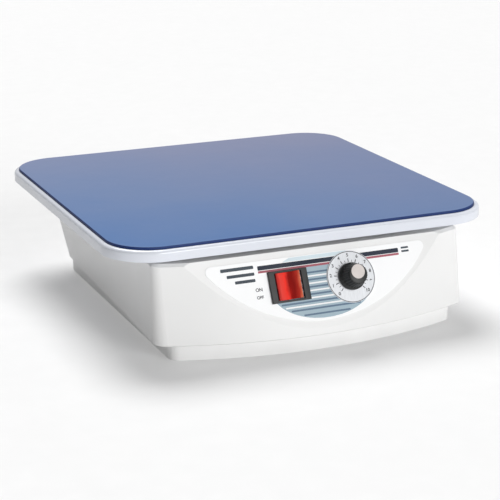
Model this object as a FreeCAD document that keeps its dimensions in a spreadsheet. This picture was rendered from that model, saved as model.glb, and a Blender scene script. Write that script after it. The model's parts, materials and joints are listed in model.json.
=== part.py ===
"""Flat-platform orbital shaker: every piece of it, in millimetres, +Z up.

The origin is on the table under the main crank's axis. -Y is the front, with the control panel.
At rest the crank points to the rear, so the platform stands one orbit radius behind the axis.
"""
import FreeCAD, Part
import math
import os
import re

import Sketcher

SIZES = {
    # Platform
    "platform_side": 300.0,
    "platform_radius": 38.0,
    "rim_height": 8.0,
    "rim_round": 2.5,
    "tray_plate": 3.0,
    "skirt_wall": 3.0,
    "mat_inset": 4.0,
    "mat_thickness": 3.0,
    "mat_recess": 1.0,
    "mat_round": 0.8,
    "mat_clearance": 0.3,
    # Heights of the case
    "foot_gap": 2.5,
    "plinth_height": 11.5,
    "housing_height": 58.0,
    "platform_gap": 4.0,
    # Housing, measured from the crank axis: bowed front, flat control panel cut into it
    "deck_width": 243.0,
    "edge_width": 246.0,
    "case_taper": 8.5,
    "bow_radius": 320.0,
    "deck_front": 154.0,
    "edge_front": 163.0,
    "deck_rear": 137.0,
    "edge_rear": 126.0,
    "shoulder_height": 30.0,
    "front_radius_deck": 8.0,
    "front_radius_edge": 12.0,
    "rear_radius_deck": 8.0,
    "rear_radius_edge": 34.0,
    "panel_front": 137.0,
    "panel_tilt": 25.5,
    "wall": 3.0,
    "deck_thickness": 3.0,
    "deck_bevel": 2.0,
    "edge_bevel": 0.8,
    "deck_clearance": 3.0,
    # Base tray
    "plinth_width": 225.0,
    "plinth_taper": 1.0,
    "plinth_front": 159.5,
    "plinth_rear": 124.0,
    "plinth_front_radius": 10.0,
    "plinth_rear_radius": 30.0,
    "plinth_wall": 3.0,
    "floor_thickness": 3.0,
    "base_lip": 3.0,
    "seat_clearance": 0.5,
    "chassis_lift": 2.5,
    "chassis_thickness": 2.0,
    "chassis_clearance": 3.5,
    "chassis_pad_radius": 8.0,
    # Feet
    "foot_radius": 10.5,
    "foot_chamfer": 1.0,
    "foot_recess": 1.5,
    "foot_front_x": 84.0,
    "foot_rear_x": 68.0,
    "foot_front": 122.0,
    "foot_rear": 104.0,
    # Screws
    "hole_clearance": 0.05,
    "head_clearance": 0.4,
    "socket_share": 0.55,
    "big_screw_radius": 2.0,
    "big_head_radius": 3.6,
    "big_head_height": 1.8,
    "small_screw_radius": 1.5,
    "small_head_radius": 2.75,
    "small_head_height": 2.0,
    "small_screw_length": 6.0,
    "case_screw_front_x": 99.0,
    "case_screw_rear_x": 95.0,
    "case_screw_front": 120.0,
    "case_screw_rear": 108.0,
    "case_screw_length": 14.0,
    "case_screw_recess": 2.2,
    "case_pad_radius": 6.0,
    "case_boss_radius": 4.5,
    # Room beyond a face for a cutting tool, and at the end of a blind hole
    "overrun": 1.0,
    "hole_end": 0.5,
    # Crank
    "orbit_radius": 10.0,
    "run_clearance": 0.04,
    "fit_clearance": 0.02,
    "crankshaft_radius": 6.0,
    "bearing_radius": 14.0,
    "bearing_height": 8.0,
    "bearing_groove": 0.5,
    "bearing_ledge": 2.0,
    "pillar_radius": 19.0,
    "pillar_height": 30.0,
    "pillar_flange_radius": 40.0,
    "flange_thickness": 3.0,
    "pillar_screw_radius": 32.0,
    "pulley_thickness": 10.0,
    "pulley_gap": 2.0,
    "pulley_radius": 55.0,
    "pulley_lip": 3.0,
    "lip_thickness": 1.0,
    "crank_disc_radius": 23.0,
    "crank_disc_thickness": 10.0,
    "shaft_engagement": 4.0,
    "shaft_collar": 2.0,
    "collar_gap": 0.1,
    "shaft_end": 0.5,
    "pin_engagement": 5.0,
    "crank_pin_radius": 5.0,
    "weight_inner_radius": 26.0,
    "weight_outer_radius": 50.0,
    "weight_thickness": 8.0,
    "weight_angle": 160.0,
    "weight_screw_angle": 40.0,
    # Platform hub
    "hub_drop": 16.0,
    "hub_radius": 18.0,
    "hub_flange_radius": 36.0,
    "hub_flange_thickness": 3.0,
    "hub_screw_radius": 27.0,
    "hub_bearing_radius": 13.0,
    "hub_bearing_lift": 1.0,
    "hub_roof": 2.0,
    "hub_screw_end": 0.1,
    # Idler cranks
    "idler_x": 85.0,
    "idler_y": 85.0,
    "idler_post_radius": 12.0,
    "idler_post_height": 44.0,
    "idler_pin_radius": 4.0,
    "idler_bush_radius": 7.0,
    "idler_bush_length": 20.0,
    "idler_bush_flange_radius": 10.0,
    "idler_bush_flange": 1.5,
    "idler_arm_radius": 9.0,
    "idler_arm_thickness": 6.0,
    "idler_thrust_gap": 0.3,
    "idler_boss_radius": 11.0,
    "idler_boss_height": 7.0,
    "idler_boss_bite": 1.0,
    "idler_pin_clearance": 0.15,
    "idler_pin_end": 1.0,
    "idler_well": 4.0,
    # Motor and belt
    "motor_x": 80.0,
    "motor_radius": 24.0,
    "motor_height": 26.0,
    "motor_spigot_radius": 8.0,
    "motor_spigot_height": 2.5,
    "motor_shaft_radius": 2.5,
    "motor_shaft_end": 0.3,
    "motor_screw_radius": 16.0,
    "motor_pulley_radius": 11.0,
    "motor_pulley_lip": 2.0,
    "bracket_sheet": 3.0,
    "bracket_width": 48.0,
    "bracket_span": 76.0,
    "bracket_foot": 14.0,
    "bracket_screw_spacing": 32.0,
    "belt_thickness": 1.5,
    "belt_clearance": 0.3,
    # Rocker switch, on the control panel
    "switch_x": -25.5,
    "switch_drop": 25.5,
    "bezel_width": 30.0,
    "bezel_height": 23.0,
    "bezel_thickness": 2.0,
    "switch_body_width": 26.0,
    "switch_body_height": 21.6,
    "switch_depth": 22.0,
    "switch_play": 0.2,
    "rocker_width": 20.0,
    "rocker_height": 19.6,
    "rocker_rise": 4.6,
    "rocker_valley": 1.8,
    "rocker_pivot_depth": 2.0,
    "rocker_tilt": 10.0,
    "rocker_play": 0.3,
    "rocker_tip_draft": 1.3,
    "rocker_keel": 5.0,
    "rocker_keel_draft": 1.5,
    "trunnion_end": 0.1,
    "trunnion_radius": 1.2,
    "terminal_length": 8.0,
    "terminal_width": 6.3,
    "terminal_thickness": 0.8,
    # Speed control, on the control panel
    "knob_x": 23.5,
    "knob_drop": 25.0,
    "knob_base_radius": 10.0,
    "knob_tip_radius": 7.6,
    "knob_height": 12.5,
    "knob_gap": 0.6,
    "knob_wall": 2.0,
    "knob_skirt": 3.0,
    "knob_edge": 1.0,
    "knob_cap_radius": 5.2,
    "knob_cap_offset": 1.7,
    "knob_cap_thickness": 1.0,
    "pot_radius": 8.0,
    "pot_depth": 10.0,
    "pot_bush_radius": 3.5,
    "pot_bush_length": 6.0,
    "pot_shaft_radius": 3.0,
    "pot_shaft_end": 0.3,
    "pot_nut_flats": 11.0,
    "pot_nut_thickness": 2.0,
    "dial_radius": 19.0,
    "dial_thickness": 0.6,
    "overlay_thickness": 0.4,
    "overlay_width": 180.0,
    "overlay_top": 5.0,
    "overlay_height": 48.0,
    "overlay_round": 4.0,
    # Speed controller board
    "board_x": -12.0,
    "board_y": -115.0,
    "board_width": 100.0,
    "board_depth": 46.0,
    "board_thickness": 1.6,
    "board_lift": 8.0,
    "board_inset": 5.0,
    "standoff_radius": 3.5,
    "transformer_x": 14.0,
    "transformer_width": 30.0,
    "transformer_depth": 20.0,
    "transformer_height": 22.0,
    "core_depth": 12.0,
    "coil_width": 18.0,
    "coil_height": 17.5,
    "capacitor_x": -48.0,
    "capacitor_radius": 6.0,
    "capacitor_height": 16.0,
    "heat_sink_x": -22.0,
    "heat_sink_width": 24.0,
    "heat_sink_fin": 2.0,
    "heat_sink_depth": 12.0,
    "heat_sink_height": 18.0,
    "part_y": -104.0,
    # Mains inlet, on the rear wall
    "inlet_x": -45.0,
    "inlet_drop": 15.0,
    "inlet_flange_width": 50.0,
    "inlet_flange_height": 23.0,
    "inlet_flange_thickness": 3.0,
    "inlet_body_width": 27.0,
    "inlet_body_height": 19.5,
    "inlet_body_depth": 22.0,
    "inlet_mouth_width": 24.0,
    "inlet_mouth_height": 16.0,
    "inlet_mouth_depth": 17.0,
    "inlet_screw_spacing": 40.0,
    "inlet_pin_spacing": 14.0,
    "inlet_pin_step": 4.0,
    "inlet_pin_thickness": 2.0,
    "inlet_pin_height": 4.0,
    "inlet_pin_inset": 4.0,
    "inlet_tab_length": 6.0,
    "inlet_screw_slot": 0.7,
}

# Places and sizes that follow from the driving dimensions.
DERIVED = {
    "z_edge": "foot_gap + plinth_height",
    "z_deck": "z_edge + housing_height",
    "z_ceiling": "z_deck - deck_thickness",
    "z_rim": "z_deck + platform_gap",
    "z_top": "z_rim + rim_height",
    "z_plate": "z_top - tray_plate",
    "z_mat": "z_top - mat_recess",
    "z_floor": "foot_gap + floor_thickness",
    "z_chassis": "z_floor + chassis_lift",
    "z_bed": "z_chassis + chassis_thickness",
    "z_lip": "z_edge + base_lip",
    "z_pillar": "z_bed + pillar_height",
    "z_pulley": "z_pillar + pulley_gap",
    "z_disc": "z_pulley + pulley_thickness",
    "z_disc_top": "z_disc + crank_disc_thickness",
    "z_hub": "z_plate - hub_drop",
    "z_hub_bearing": "z_hub + hub_bearing_lift",
    "z_hub_flange": "z_plate - hub_flange_thickness",
    "z_hub_roof": "z_hub_bearing + bearing_height + fit_clearance",
    "z_post": "z_bed + idler_post_height",
    "z_arm": "z_post + idler_bush_flange + idler_thrust_gap",
    "z_arm_top": "z_arm + idler_arm_thickness",
    "z_boss": "z_plate - idler_boss_height",
    "z_bracket": "z_pillar - bracket_sheet",
    "z_board": "z_bed + board_lift",
    "z_parts": "z_board + board_thickness",
    "z_inlet": "z_deck - inlet_drop",
    "panel_angle": "panel_tilt * 1 deg",
    "front_slope": "(edge_front - deck_front) / housing_height",
    "side_slope": "(edge_width - deck_width) / 2 / housing_height",
    "radius_slope": "(front_radius_edge - front_radius_deck) / housing_height",
    "front_wall": "wall * sqrt(1 + front_slope ^ 2)",
    "plinth_bow": "bow_radius - edge_front + plinth_front",
    "mat_side": "platform_side - 2 * mat_inset",
    "mat_radius": "platform_radius - mat_inset",
    "big_hole": "big_screw_radius + hole_clearance",
    "small_hole": "small_screw_radius + hole_clearance",
    "hub_way": "orbit_radius + hub_radius + deck_clearance",
    "idler_way": "orbit_radius + idler_pin_radius + deck_clearance",
    "rim_lip_radius": "pulley_radius + pulley_lip",
    "lip_half": "edge_width / 2 - wall - base_lip * side_slope - seat_clearance",
    "lip_front": "edge_front - front_wall - base_lip * front_slope - seat_clearance",
    "rocker_reach": "rocker_rise + rocker_pivot_depth",
}

# Room for rounding in a comparison of heights, and the least volume of a piece.
TOLERANCE = 0.01
SMALLEST_VOLUME = 0.01

CORNERS = {
    "front_left": (-1, -1),
    "front_right": (1, -1),
    "rear_left": (-1, 1),
    "rear_right": (1, 1),
}

doc = FreeCAD.newDocument("OrbitalShaker")
sheet = doc.addObject("Spreadsheet::Sheet", "Dims")
nodes = []


def fill_sheet():
    """One row per driving dimension: its name, then its number under an alias."""
    for row, (name, number) in enumerate(SIZES.items(), start=1):
        sheet.set(f"A{row}", name)
        sheet.set(f"B{row}", str(number))
        sheet.setAlias(f"B{row}", name)
    doc.recompute()


def link(text):
    """Expression text with the derived names worked out and each size pointed at the sheet."""
    def swap(match):
        word = match.group(0)
        if word in DERIVED:
            return f"({link(DERIVED[word])})"
        return f"Dims.{word}" if word in SIZES else word
    return re.sub(r"[a-z][a-z_0-9]*", swap, str(text))


def number(text):
    return float(sheet.evalExpression(link(text)))


def span(centre, size):
    """Low and high ends of a size laid evenly about a centre."""
    return f"({centre}) - ({size}) / 2", f"({centre}) + ({size}) / 2"


def move(part, x="0", y="0", z="0"):
    for axis, place in (("x", x), ("y", y), ("z", z)):
        part.setExpression(f"Placement.Base.{axis}", link(place))
    return part


def box(name, x, y, z):
    """Block between the low and high ends given for each axis."""
    part = doc.addObject("Part::Box", name)
    for side, (low, high) in (("Length", x), ("Width", y), ("Height", z)):
        part.setExpression(side, link(f"({high}) - ({low})"))
    return move(part, x[0], y[0], z[0])


def rod(name, radius, z, x="0", y="0"):
    """Upright cylinder between two heights."""
    part = doc.addObject("Part::Cylinder", name)
    part.setExpression("Radius", link(radius))
    part.setExpression("Height", link(f"({z[1]}) - ({z[0]})"))
    return move(part, x, y, z[0])


def rod_y(name, radius, y, x, z):
    """Cylinder along Y."""
    part = rod(name, radius, y)
    part.Placement = FreeCAD.Placement(FreeCAD.Vector(), FreeCAD.Rotation(FreeCAD.Vector(1, 0, 0), -90))
    return move(part, x, y[0], z)


def join(name, *parts):
    whole = doc.addObject("Part::MultiFuse", name)
    whole.Shapes = list(parts)
    return whole


def cut(name, base, *tools):
    part = doc.addObject("Part::Cut", name)
    part.Base = base
    part.Tool = tools[0] if len(tools) == 1 else join(f"{name}_tools", *tools)
    return part


def group(name, parts):
    """Several separate solids that share one node."""
    whole = doc.addObject("Part::Compound", name)
    whole.Links = list(parts)
    return whole


def keep(part):
    """Mark a finished sub-part, whose label names its file."""
    nodes.append(part)
    return part


def sketch_on(body, name, role, lift="0"):
    sketch = body.newObject("Sketcher::SketchObject", name)
    plane = [item for item in body.Origin.OriginFeatures if item.Role == role][0]
    sketch.AttachmentSupport = [(plane, "")]
    sketch.MapMode = "FlatFace"
    sketch.setExpression("AttachmentOffset.Base.z", link(lift))
    return sketch


def hold(sketch, kind, size, *places):
    """Add a driving dimension to a sketch and tie it to the sheet."""
    index = sketch.addConstraint(Sketcher.Constraint(kind, *places, number(size)))
    sketch.setExpression(f"Constraints[{index}]", link(size))


def polygon(sketch, points):
    corners = [FreeCAD.Vector(number(x), number(y), 0) for x, y in points]
    count = len(points)
    for index in range(count):
        sketch.addGeometry(Part.LineSegment(corners[index], corners[(index + 1) % count]), False)
    for index, (x, y) in enumerate(points):
        sketch.addConstraint(Sketcher.Constraint("Coincident", index, 2, (index + 1) % count, 1))
        hold(sketch, "DistanceX", x, -1, 1, index, 1)
        hold(sketch, "DistanceY", y, -1, 1, index, 1)


def arc(centre, radius, start, end):
    circle = Part.Circle(FreeCAD.Vector(centre[0], centre[1], 0), FreeCAD.Vector(0, 0, 1), radius)
    return Part.ArcOfCircle(circle, start, end)


def chain(sketch, pieces):
    """Closed run of lines and arcs, each tangent to the next. Returns the first one's index."""
    first = sketch.GeometryCount
    count = len(pieces)
    for piece in pieces:
        sketch.addGeometry(piece, False)
    for index in range(count):
        after = first + (index + 1) % count
        sketch.addConstraint(Sketcher.Constraint("Tangent", first + index, 2, after, 1))
    return first


def rounded(sketch, front_half, rear_half, front, rear, front_radius, rear_radius, bow=None):
    """Outline from -front to rear in Y with round corners, the same on both sides of the Y axis.

    The sides run from the front half width to the rear one. A bow radius makes the front an arc."""
    near_x, far_x, near, far = number(front_half), number(rear_half), number(front), number(rear)
    small, large = number(front_radius), number(rear_radius)
    quarter = math.pi / 2
    vector = FreeCAD.Vector
    turn, corner_y = 0.0, small - near
    front_run = Part.LineSegment(vector(small - near_x, -near, 0), vector(near_x - small, -near, 0))
    if bow:
        wide = number(bow)
        turn = math.asin((near_x - small) / (wide - small))
        corner_y = wide - near - (wide - small) * math.cos(turn)
        front_run = arc((0, wide - near), wide, -quarter - turn, turn - quarter)
    first = chain(sketch, [
        front_run,
        arc((near_x - small, corner_y), small, turn - quarter, 0),
        Part.LineSegment(vector(near_x, corner_y, 0), vector(far_x, far - large, 0)),
        arc((far_x - large, far - large), large, 0, quarter),
        Part.LineSegment(vector(far_x - large, far, 0), vector(large - far_x, far, 0)),
        arc((large - far_x, far - large), large, quarter, 2 * quarter),
        Part.LineSegment(vector(-far_x, far - large, 0), vector(-near_x, corner_y, 0)),
        arc((small - near_x, corner_y), small, 2 * quarter, 3 * quarter - turn),
    ])
    if bow:
        hold(sketch, "Radius", bow, first)
        hold(sketch, "DistanceX", "0", -1, 1, first, 3)
        hold(sketch, "DistanceY", f"({bow}) - ({front})", -1, 1, first, 3)
    else:
        sketch.addConstraint(Sketcher.Constraint("Horizontal", first))
        hold(sketch, "DistanceY", f"-({front})", -1, 1, first, 1)
    sketch.addConstraint(Sketcher.Constraint("Horizontal", first + 4))
    hold(sketch, "DistanceY", rear, -1, 1, first + 4, 1)
    for place, size in (((2, 1), front_half), ((2, 2), rear_half),
                        ((6, 1), f"-({rear_half})"), ((6, 2), f"-({front_half})")):
        hold(sketch, "DistanceX", size, -1, 1, first + place[0], place[1])
    for index, radius in ((1, front_radius), (3, rear_radius), (5, rear_radius), (7, front_radius)):
        hold(sketch, "Radius", radius, first + index)


def square(sketch, half, radius):
    """Square outline with four like corners, about the sketch's origin."""
    rounded(sketch, half, half, half, half, radius, radius)


def pad(body, name, sketch, length):
    feature = body.newObject("PartDesign::Pad", name)
    feature.Profile = sketch
    feature.setExpression("Length", link(length))
    return feature


def pocket(body, name, sketch, length, upwards=False):
    """Cut down from the sketch, or up from it. The volume has to fall."""
    doc.recompute()
    before = body.Shape.Volume
    feature = body.newObject("PartDesign::Pocket", name)
    feature.Profile = sketch
    feature.Reversed = upwards
    feature.setExpression("Length", link(length))
    doc.recompute()
    if not body.Shape.Volume < before - SMALLEST_VOLUME:
        raise RuntimeError(f"{name} cuts nothing")
    return feature


def turned(name, points, x="0", y="0", z="0"):
    """Solid of revolution about Z from (radius, height) corners."""
    body = doc.addObject("PartDesign::Body", name)
    sketch = sketch_on(body, f"{name}_profile", "XZ_Plane")
    polygon(sketch, points)
    feature = body.newObject("PartDesign::Revolution", f"{name}_turn")
    feature.Profile = sketch
    feature.ReferenceAxis = (sketch, ["V_Axis"])
    feature.Angle = 360.0
    return move(body, x, y, z)


def round_edges(body, name, radius, wanted):
    """Fillet the edges of the body's tip that the test picks out."""
    doc.recompute()
    tip = body.Tip
    names = [f"Edge{index}" for index, edge in enumerate(tip.Shape.Edges, start=1) if wanted(edge)]
    feature = body.newObject("PartDesign::Fillet", name)
    feature.Base = (tip, names)
    feature.setExpression("Radius", link(radius))
    doc.recompute()


def on_panel(part, x, drop):
    """Set a piece on the sloping control panel: local +Z leaves the panel, local +Y climbs it.

    drop is the distance down the panel from its top edge."""
    part.Placement = FreeCAD.Placement(FreeCAD.Vector(), FreeCAD.Rotation(FreeCAD.Vector(1, 0, 0), 60))
    part.setExpression("Placement.Rotation.Angle", link("90 deg - panel_angle"))
    return move(part, x, f"-panel_front - ({drop}) * sin(panel_angle)",
                f"z_deck - ({drop}) * cos(panel_angle)")


def screw(name, kind, length, under_head, x, y, upwards=False):
    """Pan-head screw with a hexagon socket. under_head is the height of the face it clamps."""
    way = -1 if upwards else 1
    head = (under_head, f"({under_head}) + ({way}) * {kind}_head_height")
    shank = (f"({under_head}) - ({way}) * ({length})", under_head)
    if upwards:
        head, shank = head[::-1], shank[::-1]
    blank = join(f"{name}_blank",
                 rod(f"{name}_head", f"{kind}_head_radius", head, x, y),
                 rod(f"{name}_shank", f"{kind}_screw_radius", shank, x, y))
    socket = doc.addObject("Part::Prism", f"{name}_socket")
    socket.Polygon = 6
    socket.setExpression("Circumradius", link(f"socket_share * {kind}_head_radius"))
    socket.setExpression("Height", link(f"socket_share * {kind}_head_height"))
    move(socket, x, y, head[0] if upwards else f"{head[1]} - socket_share * {kind}_head_height")
    return cut(name, blank, socket)


def screws(name, kind, length, under_head, places, upwards=False):
    return [screw(f"{name}_{index}", kind, length, under_head, x, y, upwards)
            for index, (x, y) in enumerate(places, start=1)]


def holes(name, radius, z, places):
    return [rod(f"{name}_{index}", radius, z, x, y) for index, (x, y) in enumerate(places, start=1)]


def four(x, y):
    """The four places at plus and minus x and y."""
    return [(f"{sx} * ({x})", f"{sy} * ({y})") for sx, sy in CORNERS.values()]


def on_circle(radius, angles, x="0", y="0"):
    return [(f"({x}) + ({radius}) * cos({angle})", f"({y}) + ({radius}) * sin({angle})")
            for angle in angles]


fill_sheet()

PILLAR_SCREWS = on_circle("pillar_screw_radius", (45, 135, 225, 315))
BRACKET_SCREWS = [(f"motor_x + {sx} * bracket_screw_spacing / 2",
                   f"{sy} * (bracket_span + bracket_foot) / 2") for sx, sy in CORNERS.values()]
MOTOR_SCREWS = on_circle("motor_screw_radius", (45, 135, 225, 315), "motor_x")
HUB_SCREWS = on_circle("hub_screw_radius", (45, 135, 225, 315), y="orbit_radius")
WEIGHT_SCREW_ANGLES = ("270 - weight_screw_angle", "270 + weight_screw_angle")
WEIGHT_SCREWS = on_circle("(weight_inner_radius + weight_outer_radius) / 2", WEIGHT_SCREW_ANGLES)
IDLERS = four("idler_x", "idler_y")
IDLER_PINS = [(x, f"{y} + orbit_radius") for x, y in IDLERS]
FEET = [(f"{sx} * foot_front_x", "-foot_front") if sy < 0 else (f"{sx} * foot_rear_x", "foot_rear")
        for sx, sy in CORNERS.values()]
CASE_SCREWS = [(f"{sx} * case_screw_front_x", "-case_screw_front") if sy < 0
               else (f"{sx} * case_screw_rear_x", "case_screw_rear") for sx, sy in CORNERS.values()]
BOARD_SCREWS = [(f"board_x + {sx} * (board_width / 2 - board_inset)",
                 f"board_y + {sy} * (board_depth / 2 - board_inset)") for sx, sy in CORNERS.values()]


def plinth_outline(inset):
    """Outline of the base tray's wall, drawn in by an inset all round."""
    return (f"plinth_width / 2 - ({inset})", f"plinth_width / 2 - plinth_taper - ({inset})",
            f"plinth_front - ({inset})", f"plinth_rear - ({inset})",
            f"plinth_front_radius - ({inset})", f"plinth_rear_radius - ({inset})", f"plinth_bow - ({inset})")


def make_base_tray():
    """Pan with a lip that locates the housing, pads under the chassis and recesses for the feet."""
    body = doc.addObject("PartDesign::Body", "base_tray_pan")
    outline = sketch_on(body, "plinth_edge", "XY_Plane", "foot_gap")
    rounded(outline, *plinth_outline("0"))
    pad(body, "plinth_pad", outline, "plinth_height")
    lip = sketch_on(body, "lip_outline", "XY_Plane", "z_edge")
    inset = "wall + seat_clearance"
    rounded(lip, "lip_half", "lip_half - case_taper", "lip_front", f"edge_rear - ({inset})",
            f"front_radius_edge - ({inset})", f"rear_radius_edge - ({inset})", f"bow_radius - ({inset})")
    pad(body, "lip_pad", lip, "base_lip")
    inside = sketch_on(body, "pan_inside", "XY_Plane", "z_lip")
    rounded(inside, *plinth_outline("plinth_wall"))
    pocket(body, "pan_pocket", inside, "z_lip - z_floor")
    foot_seat = "foot_gap + foot_recess"
    head_seat = "foot_gap + case_screw_recess"
    below = "foot_gap - overrun"
    pads = holes("chassis_pad", "chassis_pad_radius", (foot_seat, "z_chassis"), FEET)
    pads += holes("case_pad", "case_pad_radius", ("foot_gap", "z_chassis"), CASE_SCREWS)
    cuts = holes("foot_recess_cut", "foot_radius + hole_clearance", (below, foot_seat), FEET)
    cuts += holes("foot_screw_way", "big_hole", (below, "z_bed"), FEET)
    cuts += holes("case_head_recess", "small_head_radius + head_clearance", (below, head_seat), CASE_SCREWS)
    cuts += holes("case_screw_way", "small_hole", (below, "z_bed"), CASE_SCREWS)
    keep(cut("base_tray", join("base_tray_blank", body, *pads), *cuts))


def make_chassis():
    """Steel plate on the tray's pads. It carries the crank, the idlers, the motor and the board."""
    body = doc.addObject("PartDesign::Body", "chassis_blank")
    outline = sketch_on(body, "chassis_outline", "XY_Plane", "z_chassis")
    rounded(outline, *plinth_outline("plinth_wall + chassis_clearance"))
    pad(body, "chassis_pad_up", outline, "chassis_thickness")
    through = ("z_chassis - overrun", "z_bed + overrun")
    keep(cut("chassis_plate", body,
             *holes("chassis_foot_hole", "big_hole", through, FEET),
             *holes("chassis_screw_hole", "big_hole", through, PILLAR_SCREWS + BRACKET_SCREWS),
             *holes("chassis_boss_notch", "case_boss_radius + seat_clearance", through, CASE_SCREWS),
             *holes("chassis_post_hole", "idler_post_radius / 2 + hole_clearance", through, IDLERS)))
    under_head = "z_bed + flange_thickness"
    keep(group("chassis_screws", screws("chassis_screw", "big", "flange_thickness + chassis_thickness",
                                        under_head, PILLAR_SCREWS + BRACKET_SCREWS)))


def make_feet():
    seat = "foot_gap + foot_recess - big_head_height"
    well = "big_head_radius + head_clearance"
    for name, (x, y) in zip(CORNERS, FEET):
        keep(turned(f"foot_{name}", [
            (well, "0"),
            ("foot_radius - foot_chamfer", "0"),
            ("foot_radius", "foot_chamfer"),
            ("foot_radius", "foot_gap + foot_recess"),
            ("big_hole", "foot_gap + foot_recess"),
            ("big_hole", seat),
            (well, seat)], x, y))
    keep(group("foot_screws", screws("foot_screw", "big", f"z_bed - ({seat})", seat, FEET, upwards=True)))


def housing_outline(height, inset, raked):
    """Outline of the case at a height above its lower edge, drawn in by an inset all round.

    raked is true below the shoulder, where the rear wall leans in under the deck."""
    rear, rear_radius = "deck_rear", "rear_radius_deck"
    if raked:
        share = f"({height}) / shoulder_height"
        rear = f"edge_rear + (deck_rear - edge_rear) * {share}"
        rear_radius = f"rear_radius_edge + (rear_radius_deck - rear_radius_edge) * {share}"
    half = f"edge_width / 2 - ({height}) * side_slope - ({inset})"
    return (half, f"{half} - case_taper",
            f"edge_front - ({height}) * front_slope - ({inset}) * sqrt(1 + front_slope ^ 2)",
            f"{rear} - ({inset})",
            f"front_radius_edge - ({height}) * radius_slope - ({inset})",
            f"{rear_radius} - ({inset})",
            f"bow_radius - ({inset})")


def housing_form(name, levels, panel_inset):
    """Straight-sided loft through the case's outlines at the levels given, with the flat panel cut in."""
    body = doc.addObject("PartDesign::Body", f"{name}_body")
    sections = []
    for index, (height, inset, raked) in enumerate(levels, start=1):
        sketch = sketch_on(body, f"{name}_{index}", "XY_Plane", f"z_edge + {height}")
        rounded(sketch, *housing_outline(height, inset, raked))
        sections.append(sketch)
    loft = body.newObject("PartDesign::AdditiveLoft", f"{name}_loft")
    loft.Profile = sections[0]
    loft.Sections = sections[1:]
    loft.Ruled = True
    block = box(f"{name}_panel_block", span("0", "2 * edge_width"), span("0", "4 * housing_height"),
                (f"-({panel_inset})", "housing_height"))
    return cut(name, body, on_panel(group(f"{name}_panel_cut", [block]), "0", "0"))


def make_housing():
    """Moulded case: bowed front with a flat panel, sides that close in, rear raked below the shoulder."""
    outer = housing_form("housing_outer", [
        ("0", "edge_bevel", True), ("edge_bevel", "0", True), ("shoulder_height", "0", False),
        ("housing_height - deck_bevel", "0", False), ("housing_height", "deck_bevel", False)], "0")
    inner = housing_form("housing_inner", [
        ("0", "wall", True), ("shoulder_height", "wall", False),
        ("housing_height - deck_thickness", "wall", False)], "wall")
    bosses = holes("case_boss", "case_boss_radius", ("z_chassis", "z_deck - deck_thickness / 2"), CASE_SCREWS)
    panel_span = ("-2 * wall", "wall")
    switch_way = box("switch_way", span("0", "switch_body_width + 2 * switch_play"),
                     span("0", "switch_body_height + 2 * switch_play"), panel_span)
    pot_way = rod("pot_way", "pot_bush_radius + switch_play", panel_span)
    through = ("z_ceiling - overrun", "z_deck + overrun")
    rear_way = ("deck_rear - 2 * wall", "deck_rear + wall")
    head_seat = "foot_gap + case_screw_recess"
    pilot = ("z_chassis - overrun", f"{head_seat} + case_screw_length + hole_end")
    keep(cut("housing", join("housing_blank", cut("housing_shell", outer, inner), *bosses),
             on_panel(group("switch_way_placed", [switch_way]), "switch_x", "switch_drop"),
             on_panel(group("pot_way_placed", [pot_way]), "knob_x", "knob_drop"),
             rod("hub_way_cut", "hub_way", through),
             *holes("idler_way_cut", "idler_way", through, IDLERS),
             *holes("case_screw_pilot", "small_hole", pilot, CASE_SCREWS),
             box("inlet_way", span("inlet_x", "inlet_body_width + 2 * switch_play"), rear_way,
                 span("z_inlet", "inlet_body_height + 2 * switch_play")),
             *[rod_y(f"inlet_screw_way_{side}", "small_hole", rear_way,
                     f"inlet_x + ({side}) * inlet_screw_spacing / 2", "z_inlet") for side in (-1, 1)]))
    keep(group("housing_screws", screws("housing_screw", "small", "case_screw_length", head_seat,
                                        CASE_SCREWS, upwards=True)))


def make_bearing(name, outer, bore, height, y, z):
    """Shielded ball bearing: stepped side faces show the two races."""
    web = f"(({outer}) + ({bore})) / 2"
    race = f"(({outer}) - ({bore})) / 5"
    keep(turned(name, [
        (bore, "0"), (f"{web} - {race}", "0"), (f"{web} - {race}", "bearing_groove"),
        (f"{web} + {race}", "bearing_groove"),
        (f"{web} + {race}", "0"), (outer, "0"), (outer, height), (f"{web} + {race}", height),
        (f"{web} + {race}", f"{height} - bearing_groove"), (f"{web} - {race}", f"{height} - bearing_groove"),
        (f"{web} - {race}", height), (bore, height)], "0", y, z))


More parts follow.
